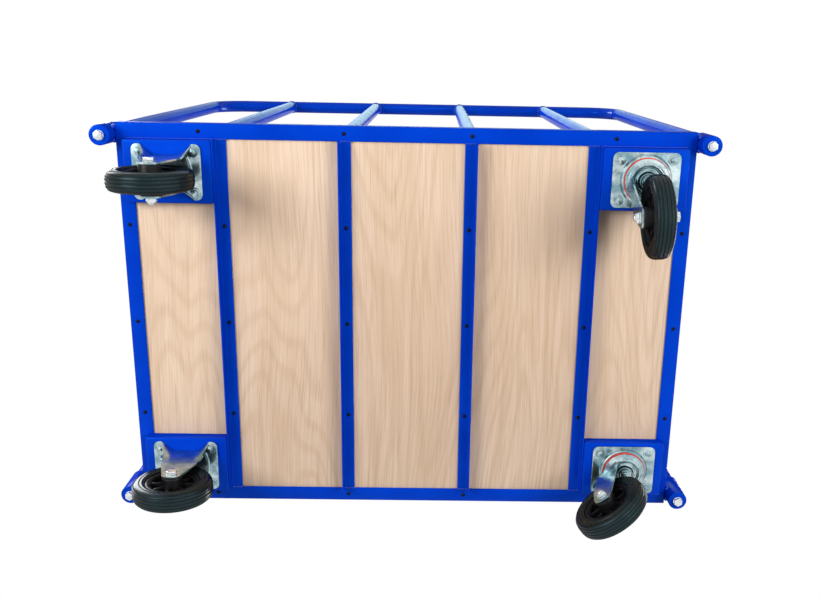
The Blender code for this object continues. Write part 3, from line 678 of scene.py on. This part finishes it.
screwPlaces = []
for across in (-1, 0, 1):
    y = across * deckScrew["across"] * 2 * railHigh.y
    for sign in signs:
        screwPlaces.append((sign * (endHigh.x - railLeg / 2), y))
    for x in crossXs:
        inward = 1 if x < 0 else -1
        screwPlaces.append((x + inward * deckScrew["crossIn"], y))
for x in deckScrew["longRailX"]:
    for endSign in signs:
        for sideSign in signs:
            screwPlaces.append((endSign * x, sideSign * (railHigh.y - railLeg / 2)))
for x, y in screwPlaces:
    join(screwRow, screwHead(), move(x, y, frameZ))
addPiece("deck_screws", screwRow, screwBlack, "chassis")
print("welds and", len(screwPlaces), "deck screws done")


# wheels, about the axle with the axle on Y; the outlines run from the middle of the wheel outwards

wheel = {"bore": 0.054, "boreHalf": 0.0176, "steps": 128, "tyreEdge": 0.0003, "centreEdge": 0.0005,
         "tread": [(0.0783, 0.0), (0.0783, 0.0006), (0.0798, 0.0010), (0.0800, 0.0062), (0.0784, 0.0066),
                   (0.0784, 0.0076), (0.0795, 0.0080), (0.0787, 0.0124), (0.0770, 0.0128),
                   (0.0768, 0.0138), (0.0777, 0.0143), (0.0750, 0.0172), (0.0702, 0.0190),
                   (0.0660, 0.0197), (0.0655, 0.0187), (0.0641, 0.0185), (0.0633, 0.0197),
                   (0.0592, 0.0200), (0.0582, 0.0187), (0.0546, 0.0183)],
         "centre": [(0.0537, 0.0160), (0.0500, 0.0168), (0.0470, 0.0160), (0.0440, 0.0148),
                    (0.0415, 0.0120), (0.0408, 0.0040), (0.0216, 0.0040), (0.0210, 0.0240),
                    (0.0202, 0.0284), (0.0120, 0.0290), (0.0064, 0.0290)],
         "ribs": 8, "rib": (0.0245, 0.0046, 0.010), "ribPlace": (0.0310, 0.0075), "ribEdge": 0.0007}


def bothSides(half):
    return half + [(radius, -y) for radius, y in reversed(half) if y > 0]


def tyreBody():
    # down one side wall, over the bore and up the other
    outline = bothSides(wheel["tread"])
    cut = len(wheel["tread"])
    bore = [(wheel["bore"], wheel["boreHalf"]), (wheel["bore"], -wheel["boreHalf"])]
    outline = outline[:cut] + bore + outline[cut:]
    return placed(turned(outline, wheel["steps"], wheel["tyreEdge"]), onAxle)


def rimBody():
    bm = turned(bothSides(wheel["centre"]), wheel["steps"], wheel["centreEdge"])
    ribX, ribZ = wheel["ribPlace"]
    for number in range(wheel["ribs"]):
        for face in signs:
            rib = brick(wheel["rib"], (ribX, 0, face * ribZ))
            soften(rib, wheel["ribEdge"])
            join(bm, rib, turnZ(2 * math.pi * number / wheel["ribs"]))
    return placed(bm, onAxle)


axle = {"radius": 0.006, "flats": 0.019, "seat": 0.0331, "head": 0.0075, "headChamfer": 0.0011,
        "flange": 0.0112, "flangeDepth": 0.0012, "plain": 0.002, "threadFrom": 0.003, "threads": 7,
        "pitch": 0.0014, "threadDepth": 0.0006, "nut": 0.010, "spare": 0.003}
axleLock = {"bore": 0.0064, "chamfer": 0.0010, "washer": 0.0016, "overlap": 0.0002, "collar": 0.0030,
            "collarLow": 0.0088, "collarHigh": 0.0082, "edge": 0.0003, "steps": 36}


def axleBolt():
    seat, tip = axle["seat"], axle["seat"] + axle["nut"] + axle["spare"]
    radius, under = axle["radius"], -seat - axle["flangeDepth"]
    outline = [(0, under), (axle["flange"], under), (axle["flange"], -seat), (radius, -seat),
               (radius, seat + axle["plain"])]
    for number in range(axle["threads"]):
        z = seat + axle["threadFrom"] + axle["pitch"] * number
        outline += [(radius, z), (radius - axle["threadDepth"], z + axle["pitch"] / 2)]
    outline += [(radius - 2 * axle["threadDepth"], tip), (0, tip)]
    bm = turned(outline, 32)
    head = hexBlock(axle["flats"], -seat - axle["head"], under + axleLock["overlap"], axle["headChamfer"])
    return placed(join(bm, head), onAxle)


def axleNut():
    seat, high = axle["seat"], axle["seat"] + axle["nut"]
    bore, overlap, edge = axleLock["bore"], axleLock["overlap"], axleLock["edge"]
    washerTop, collarLow = seat + axleLock["washer"], high - axleLock["collar"]
    bm = hexBlock(axle["flats"], washerTop - overlap, collarLow + overlap, axleLock["chamfer"])
    washer = [(bore, seat), (axle["flange"], seat), (axle["flange"], washerTop), (bore, washerTop)]
    collar = [(bore, collarLow), (axleLock["collarLow"], collarLow), (axleLock["collarHigh"], high),
              (bore, high)]
    for outline in (washer, collar):
        join(bm, turned(outline, axleLock["steps"], edge))
    return placed(bm, onAxle)


def addWheel(kind, side, place, carrier, roller):
    tag = "_%s_%s" % (kind, side)
    addPiece("tyre" + tag, tyreBody(), rubber, roller, [kind + "_tyre_" + side], place)
    addPiece("wheel_centre" + tag, rimBody(), blackPlastic, roller,
             [kind + "_rim_" + side], place)
    addZinc("axle_bolt" + tag, axleBolt(), [kind + "_axle_" + side], place, boltZinc, carrier)
    addZinc("axle_lock" + tag, axleNut(), [kind + "_axle_nut_" + side], place, boltZinc, carrier)


# pressed legs, about the castor's centre with the trail on +X

leg = {"outer": 0.0328, "sheet": 0.0035, "footWidth": 0.0198, "footDrop": 0.0175, "square": 3.0,
       "across": 30, "down": 34, "edge": 0.0006, "edgeAngle": 50, "sliver": 0.00003}


def pressedLeg(topZ, edgesAt, rimOf, flare):
    # one leg on the +Y side: its top edge follows rimOf, its foot is flat with round corners
    bm = bmesh.new()
    bmesh.ops.create_grid(bm, x_segments=leg["across"], y_segments=leg["down"], size=0.5)
    frontTop, backTop = edgesAt(0.0)
    square = leg["square"]
    for vert in bm.verts:
        u = math.sin(math.pi * vert.co.x)
        t = min(1.0, max(0.0, 0.5 - vert.co.y))
        front, back = edgesAt(t)
        x = (front + back) / 2 + u * (back - front) / 2
        topX = (frontTop + backTop) / 2 + u * (backTop - frontTop) / 2
        footZ = axleZ - leg["footDrop"] * max(0.0, 1 - abs(u) ** square) ** (1 / square)
        fade = max(0.0, 1 - t / flare) ** 2
        y = leg["outer"] + (rimOf(topX) - leg["outer"]) * fade
        vert.co = (x, y, topZ + (footZ - topZ) * t)
    bm.normal_update()

    def spot(vert):
        return tuple(round(c, 7) for c in vert.co)

    # the inner skin's verts start on the outer ones, so each finds its shift by its place
    inward = {spot(vert): vert.normal * (-leg["sheet"] if vert.normal.y > 0 else leg["sheet"])
              for vert in bm.verts}
    grown = bmesh.ops.extrude_face_region(bm, geom=bm.faces[:], use_keep_orig=True)["geom"]
    for vert in vertsOf(grown):
        vert.co += inward[spot(vert)]
    soften(bm, leg["edge"], angle=leg["edgeAngle"])
    bmesh.ops.dissolve_degenerate(bm, dist=leg["sliver"], edges=bm.edges[:])
    return bm


def legPair(target, *shape):
    for sign in (1, -1):
        join(target, pressedLeg(*shape), Matrix.Diagonal((1, sign, 1, 1)))


# fixed brackets

plate = {"corner": 0.012, "edge": 0.0013, "edgeAngle": 50, "notchX": 0.027, "notchY": 0.0343,
         "mouthX": 0.051, "boltEdge": 0.015}
plateHalfX = (plateHigh.x - plateLow.x) / 2
plateHalfY = (plateHigh.y - plateLow.y) / 2
bracket = {"widen": 0.0322, "sweep": 0.25, "sweepPower": 8, "taperPower": 1.6, "rimInset": 0.001,
           "sunk": 0.002, "flare": 0.42}
pressing = {"reach": 0.030, "bow": 0.075, "ridge": 0.0035, "x": 0.0475, "sunk": 0.0004, "around": 14,
            "steps": 22}


def roundedPlate(outline):
    def atCorner(e):
        return not isLevel(e) and abs(abs(e.verts[0].co.x) - plateHalfX) < near

    bm = slab(outline, plateZ, plateTopZ)
    soften(bm, plate["corner"], 8, picked=atCorner)
    return soften(bm, plate["edge"], angle=plate["edgeAngle"])


def bracketEdges(t):
    # wide at the plate, a short sweep under the ears, then a taper that rounds into the foot
    sweep = bracket["sweep"] * (1 - t) ** bracket["sweepPower"]
    taper = (1 - bracket["sweep"]) * (1 - t ** bracket["taperPower"])
    half = leg["footWidth"] + bracket["widen"] * (sweep + taper)
    return -half, half


def bracketRim(x):
    past = max(0.0, abs(x) - plate["notchX"])
    slope = (plateHalfY - plate["notchY"]) / (plate["mouthX"] - plate["notchX"])
    return min(plateHalfY - bracket["rimInset"], plate["notchY"] + past * slope)


def pressedRib():
    # half-round ridge under the plate, bowed away from the wheel, from one leg to the other
    bow = pressing["bow"]
    span = math.asin(pressing["reach"] / bow)
    bm = bmesh.new()
    start = turnZ(-span) @ move(bow, 0, 0) @ Matrix.Rotation(math.pi / 2, 4, "X")
    bmesh.ops.create_circle(bm, cap_ends=True, segments=pressing["around"], radius=pressing["ridge"],
                            matrix=start)
    spun = bmesh.ops.spin(bm, geom=bm.edges[:], cent=(0, 0, 0), axis=(0, 0, 1), angle=2 * span,
                          steps=pressing["steps"])
    bmesh.ops.edgeloop_fill(bm, edges=edgesOf(spun["geom_last"]))
    return placed(bm, move(pressing["x"] - bow, 0, plateZ + pressing["sunk"]))


def bracketBody():
    quarter = [(plate["notchX"], plate["notchY"]), (plate["mouthX"], plateHalfY), (plateHalfX, plateHalfY)]
    right = quarter + [(x, -y) for x, y in reversed(quarter)]
    bm = roundedPlate(right + [(-x, y) for x, y in reversed(right)])
    legPair(bm, plateZ + bracket["sunk"], bracketEdges, bracketRim, bracket["flare"])
    for sign in signs:
        join(bm, pressedRib(), Matrix.Diagonal((sign, 1, 1, 1)))
    return bm


# swivel heads and forks

race = {"inner": 0.0395, "outer": 0.0515, "low": 0.1836, "steps": 72, "edge": 0.0005}
seal = {"inner": 0.0400, "inset": 0.0016, "steps": 72, "edge": 0.0003}
kingpin = {"shank": 0.0100, "steps": 64, "edge": 0.0003,
           "head": [(0, 0.1656), (0.0038, 0.1652), (0.0052, 0.1660), (0.0060, 0.1668), (0.0088, 0.1668),
                    (0.0102, 0.1684), (0.0106, 0.1700), (0.0138, 0.1704), (0.0152, 0.1690),
                    (0.0166, 0.1694), (0.0170, 0.1722), (0.0100, 0.1722)]}
# a thin flange under the seal, a flank, and the raised ball race that is pressed into it
crown = {"radius": 0.0441, "steps": 80, "edge": 0.0004, "rimInset": 0.0005, "rimHeld": 0.75,
         "easeFrom": -0.017, "easeOver": 0.027, "legTop": 0.1783,
         "outline": [(0.0104, 0.1755), (0.0175, 0.1755), (0.0192, 0.1733), (0.0206, 0.1725),
                     (0.0222, 0.1733), (0.0240, 0.1755), (0.0262, 0.1757), (0.0282, 0.1739),
                     (0.0300, 0.1713), (0.0322, 0.1705), (0.0340, 0.1713), (0.0362, 0.1747),
                     (0.0392, 0.1765), (0.0431, 0.1769), (0.0441, 0.1777), (0.0437, 0.1797),
                     (0.0411, 0.1805), (0.0104, 0.1805)]}
fork = {"front": -0.0090, "frontPower": 1.1, "back": 0.0400, "backPower": 1.7, "sweep": 0.008,
        "sweepEnd": 0.20, "flare": 0.17}


def topPlateBody():
    hx, hy = plateHalfX, plateHalfY
    bm = roundedPlate([(-hx, -hy), (hx, -hy), (hx, hy), (-hx, hy)])
    inner, outer, low = race["inner"], race["outer"], race["low"]
    ring = [(inner, low), (outer - 0.0040, low), (outer - 0.0020, low + 0.0020),
            (outer - 0.0012, plateZ - 0.0020), (outer + 0.0012, plateZ + 0.0006), (inner, plateZ + 0.0006)]
    return join(bm, turned(ring, race["steps"], race["edge"]))


def dustRing():
    inner, outer = seal["inner"], (sealHigh.x - sealLow.x) / 2 - seal["inset"]
    low, high = sealLow.z, sealHigh.z
    return turned([(inner, low + 0.0002), (outer - 0.0018, low), (outer - 0.0005, low + 0.0005),
                   (outer, low + 0.0014), (outer - 0.0002, high), (inner, high)],
                  seal["steps"], seal["edge"], 3)


def rivet():
    shank = [(kingpin["shank"], plateTopZ), (0, plateTopZ)]
    return turned(kingpin["head"] + shank, kingpin["steps"], kingpin["edge"])


def forkEdges(t):
    # the front edge sweeps into the crown's rim, the back edge bulges out behind it
    foot = leg["footWidth"]
    sweep = fork["sweep"] * max(0.0, 1 - t / fork["sweepEnd"]) ** 2
    frontShare = 1 - (1 - t) ** fork["frontPower"]
    backShare = 1 - (1 - t) ** fork["backPower"]
    front = fork["front"] - sweep + (swivelTrail - foot - fork["front"]) * frontShare
    back = fork["back"] + (swivelTrail + foot - fork["back"]) * backShare
    return front, back


def crownRim(x):
    # the front corner stays upright, so that no tip stands out past the rim
    held = min(abs(x), crown["rimHeld"] * crown["radius"])
    rim = math.sqrt(crown["radius"] ** 2 - held * held) - crown["rimInset"]
    ease = min(1.0, max(0.0, (x - crown["easeFrom"]) / crown["easeOver"]))
    return leg["outer"] + (rim - leg["outer"]) * ease


def forkBody():
    bm = turned(crown["outline"], crown["steps"], crown["edge"])
    legPair(bm, crown["legTop"], forkEdges, crownRim, fork["flare"])
    return bm


# castor bolts, from the plate's underside down

castorBolt = {"sunk": 0.0002, "washer": 0.0106, "washerDepth": 0.0016, "flats": 0.013, "nutLow": 0.0062,
              "nutHigh": 0.0014, "chamfer": 0.0008, "stud": 0.004, "tip": 0.0078, "tipRadius": 0.0032,
              "threadLow": 0.0072, "threadHigh": 0.0050, "threads": 2, "pitch": 0.0010,
              "threadDepth": 0.0005}


def castorBolts():
    sunk, radius, tip = castorBolt["sunk"], castorBolt["stud"], castorBolt["tip"]
    wide, low = castorBolt["washer"], -castorBolt["washerDepth"]
    washer = [(radius, low), (wide, low), (wide, sunk), (radius, sunk)]
    stud = [(0, -tip), (castorBolt["tipRadius"], -tip)]
    for number in range(castorBolt["threads"]):
        z = castorBolt["pitch"] * number - castorBolt["threadLow"]
        stud += [(radius, z), (radius - castorBolt["threadDepth"], z + castorBolt["pitch"] / 2)]
    stud += [(radius, -castorBolt["threadHigh"]), (radius, sunk), (0, sunk)]
    bm = bmesh.new()
    for sx in signs:
        for sy in signs:
            place = move(sx * (plateHalfX - plate["boltEdge"]), sy * (plateHalfY - plate["boltEdge"]), plateZ)
            join(bm, turned(washer, 28, 0.0003), place)
            join(bm, turned(stud, 20), place)
            nut = hexBlock(castorBolt["flats"], -castorBolt["nutLow"], -castorBolt["nutHigh"],
                           castorBolt["chamfer"])
            join(bm, nut, place @ turnZ(0.4 + 0.7 * sx + 0.3 * sy))   # no two nuts turned alike
    return bm


for side, sign in sides:
    fixedPlace = move(-castorX, sign * castorY, 0)
    addZinc("fixed_fork_" + side, bracketBody(), ["fixed_bracket_" + side], fixedPlace)
    addZinc("plate_bolts_fixed_" + side, castorBolts(), (), fixedPlace)
    addWheel("fixed", side, fixedPlace @ move(0, 0, axleZ), "chassis", side + "_fixed_wheel")

    seat = move(castorX, sign * castorY, 0)
    trailing = seat @ turnZ(swivelAngle[side])
    swivel = side + "_swivel"
    addZinc("top_plate_" + side, topPlateBody(), ["swivel_plate_" + side], seat)
    addZinc("plate_bolts_swivel_" + side, castorBolts(), (), seat)
    addPiece("dust_ring_" + side, dustRing(), redSeal, "chassis", ["swivel_seal_" + side], seat)
    addZinc("rivet_" + side, rivet(), ["swivel_kingpin_" + side], seat)
    addZinc("turning_fork_" + side, forkBody(), ["swivel_fork_" + side], trailing, body=swivel)
    addWheel("swivel", side, trailing @ move(swivelTrail, 0, axleZ), swivel, swivel + "_wheel")
print("castors done")


# floor, seen only from above: pale to the eye, white in reflections, dimmer as a light

ground = {"radius": 60.0, "segments": 96, "rough": 0.9, "face": 0.86, "asLight": 0.3, "toEye": 0.70}
floorMesh = bmesh.new()
bmesh.ops.create_circle(floorMesh, cap_ends=True, segments=ground["segments"], radius=ground["radius"])
floorData = bpy.data.meshes.new("floor")
floorMesh.to_mesh(floorData)
floorMesh.free()
floor = bpy.data.objects.new("floor", floorData)
floor.visible_shadow = False
bpy.context.scene.collection.objects.link(floor)

floorFinish, tree, shader = startFinish("pale_floor")
shader.inputs["Roughness"].default_value = ground["rough"]
ray = addNode(tree, "ShaderNodeLightPath").outputs
bounce = spread(tree, ray["Is Diffuse Ray"], 0.0, 1.0, ground["face"], ground["asLight"])
feed(tree, shader, "Base Color", bounce)
mirrored = combine(tree, "MAXIMUM", ray["Is Glossy Ray"], ray["Is Transmission Ray"])
toEye = combine(tree, "MULTIPLY", ray["Is Camera Ray"], ground["toEye"])
white = combine(tree, "MAXIMUM", mirrored, toEye)
glow = addNode(tree, "ShaderNodeEmission", {"Color": (1, 1, 1, 1), "Strength": 1.0}).outputs[0]
front = addNode(tree, "ShaderNodeMixShader", {0: white, 1: shader.outputs[0], 2: glow}).outputs[0]
clear = addNode(tree, "ShaderNodeBsdfTransparent").outputs[0]
behind = addNode(tree, "ShaderNodeNewGeometry").outputs["Backfacing"]
oneSided = addNode(tree, "ShaderNodeMixShader", {0: behind, 1: front, 2: clear}).outputs[0]
tree.links.new(oneSided, tree.nodes["Material Output"].inputs["Surface"])
floorData.materials.append(floorFinish)


# white room: full white to the eye and in reflections, softer as a light

room = {"asLight": 0.14, "seen": 1.0}
world = bpy.data.worlds.new("studio")
bpy.context.scene.world = world
world.use_nodes = True
tree = world.node_tree
ray = addNode(tree, "ShaderNodeLightPath").outputs
seen = combine(tree, "MAXIMUM", ray["Is Camera Ray"], ray["Is Transmission Ray"])
seen = combine(tree, "MAXIMUM", seen, ray["Is Glossy Ray"])
background = tree.nodes["Background"]
background.inputs["Color"].default_value = (1, 1, 1, 1)
feed(tree, background, "Strength", spread(tree, seen, 0.0, 1.0, room["asLight"], room["seen"]))

# each lamp: place, size, power, colour
plain = (1.0, 1.0, 1.0)
studio = {"under_left": ((-2.3, -1.2, -1.9), 1.4, 93.0, plain),
          "under_right": ((2.1, -0.8, -1.9), 1.4, 72.0, plain),
          "under_top": ((0.0, -2.1, -1.0), 0.3, 6.5, plain),
          "over_strip": ((0.0, -1.75, 5.0), 2.5, 42.0, (0.55, 1.0, 0.85)),
          "over_key": ((-2.4, -1.0, 3.2), 2.0, 170.0, plain),
          "over_fill": ((2.4, 1.4, 3.0), 2.0, 125.0, plain)}
aim = Vector((0, 0, 0.4))
for name, (place, size, power, colour) in studio.items():
    lampData = bpy.data.lights.new(name, "AREA")
    lampData.size = size
    lampData.energy = power
    lampData.color = colour
    lamp = bpy.data.objects.new(name, lampData)
    lamp.location = place
    lamp.rotation_euler = (aim - Vector(place)).to_track_quat("-Z", "Y").to_euler()
    bpy.context.scene.collection.objects.link(lamp)


# camera under the deck, as the photograph sees the tipped trolley

view = {"place": (0.05123, -0.54393, -1.6663), "sensor": 36.0, "lens": 41.108,
        "shift": (-0.04802, 0.04871), "reach": 50.0, "down": (0.01425, 0.956386, -0.291758),
        "ahead": (0.019865, 0.291459, 0.956377)}
ahead = Vector(view["ahead"]).normalized()
down = Vector(view["down"])
down = (down - ahead * down.dot(ahead)).normalized()
right = down.cross(ahead)
cameraData = bpy.data.cameras.new("camera")
cameraData.sensor_width = view["sensor"]
cameraData.lens = view["lens"]
cameraData.shift_x, cameraData.shift_y = view["shift"]
cameraData.clip_end = view["reach"]
camera = bpy.data.objects.new("camera", cameraData)
turn = Matrix((right, -down, -ahead)).transposed().to_4x4()
camera.matrix_world = Matrix.Translation(view["place"]) @ turn
bpy.context.scene.collection.objects.link(camera)
bpy.context.scene.camera = camera
bpy.context.scene.view_settings.view_transform = "Standard"

print("studio done")
